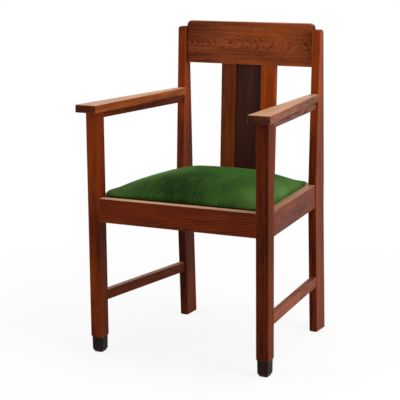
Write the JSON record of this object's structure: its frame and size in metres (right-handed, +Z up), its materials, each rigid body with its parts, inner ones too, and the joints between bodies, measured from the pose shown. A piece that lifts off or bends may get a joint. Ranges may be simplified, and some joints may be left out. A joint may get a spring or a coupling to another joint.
{
  "type": "open-arm chair",
  "caption": "Stained oak open-arm chair with a crowned loose velvet seat, flat tapering arms, wide crest board, dark splat panel and dark front toes.",
  "frame": {"origin": "on the floor, in the middle of the chair's outline", "axes": "+Z up; the front of the chair looks along -Y; +X is the right-hand side as seen from the front"},
  "size_m": [0.5838, 0.5334, 0.903],
  "materials": {
    "stained_oak": "reddish-brown stained oak, satin polish",
    "ebonised_wood": "near-black stained wood, satin polish",
    "bare_beech": "bare planed beech",
    "screw_steel": "dull steel",
    "jute_webbing": "woven jute strap",
    "hessian": "coarse hessian",
    "stuffing": "felted stuffing",
    "green_velvet": "short-pile green velvet"
  },
  "bodies": {
    "chair_frame": {"front_leg_left": "stained_oak", "front_leg_right": "stained_oak", "rear_post_left": "stained_oak", "rear_post_right": "stained_oak", "side_seat_rail_left": "stained_oak", "side_seat_rail_right": "stained_oak", "side_stretcher_left": "stained_oak", "side_stretcher_right": "stained_oak", "arm_left": "stained_oak", "arm_right": "stained_oak", "under_arm_rail_left": "stained_oak", "under_arm_rail_right": "stained_oak", "splat_stile_left": "stained_oak", "splat_stile_right": "stained_oak", "front_seat_rail": "stained_oak", "rear_seat_rail": "stained_oak", "crest_rail": "stained_oak", "front_toe_left": "ebonised_wood", "front_toe_right": "ebonised_wood", "splat_panel": "ebonised_wood", "corner_block_front_left": "bare_beech", "corner_block_front_right": "bare_beech", "corner_block_rear_left": "bare_beech", "corner_block_rear_right": "bare_beech"},
    "loose_seat": {"seat_frame_front": "bare_beech", "seat_frame_rear": "bare_beech", "seat_frame_left": "bare_beech", "seat_frame_right": "bare_beech", "webbing_lengthwise": "jute_webbing", "webbing_crosswise": "jute_webbing", "seat_hessian": "hessian", "seat_stuffing": "stuffing", "seat_cover": "green_velvet"}
  },
  "joints": [
    {"name": "seat_lift", "type": "slide", "parent": "chair_frame", "child": "loose_seat", "axis": [0, 0, 1], "range_m": [0, 0.15]}
  ]
}
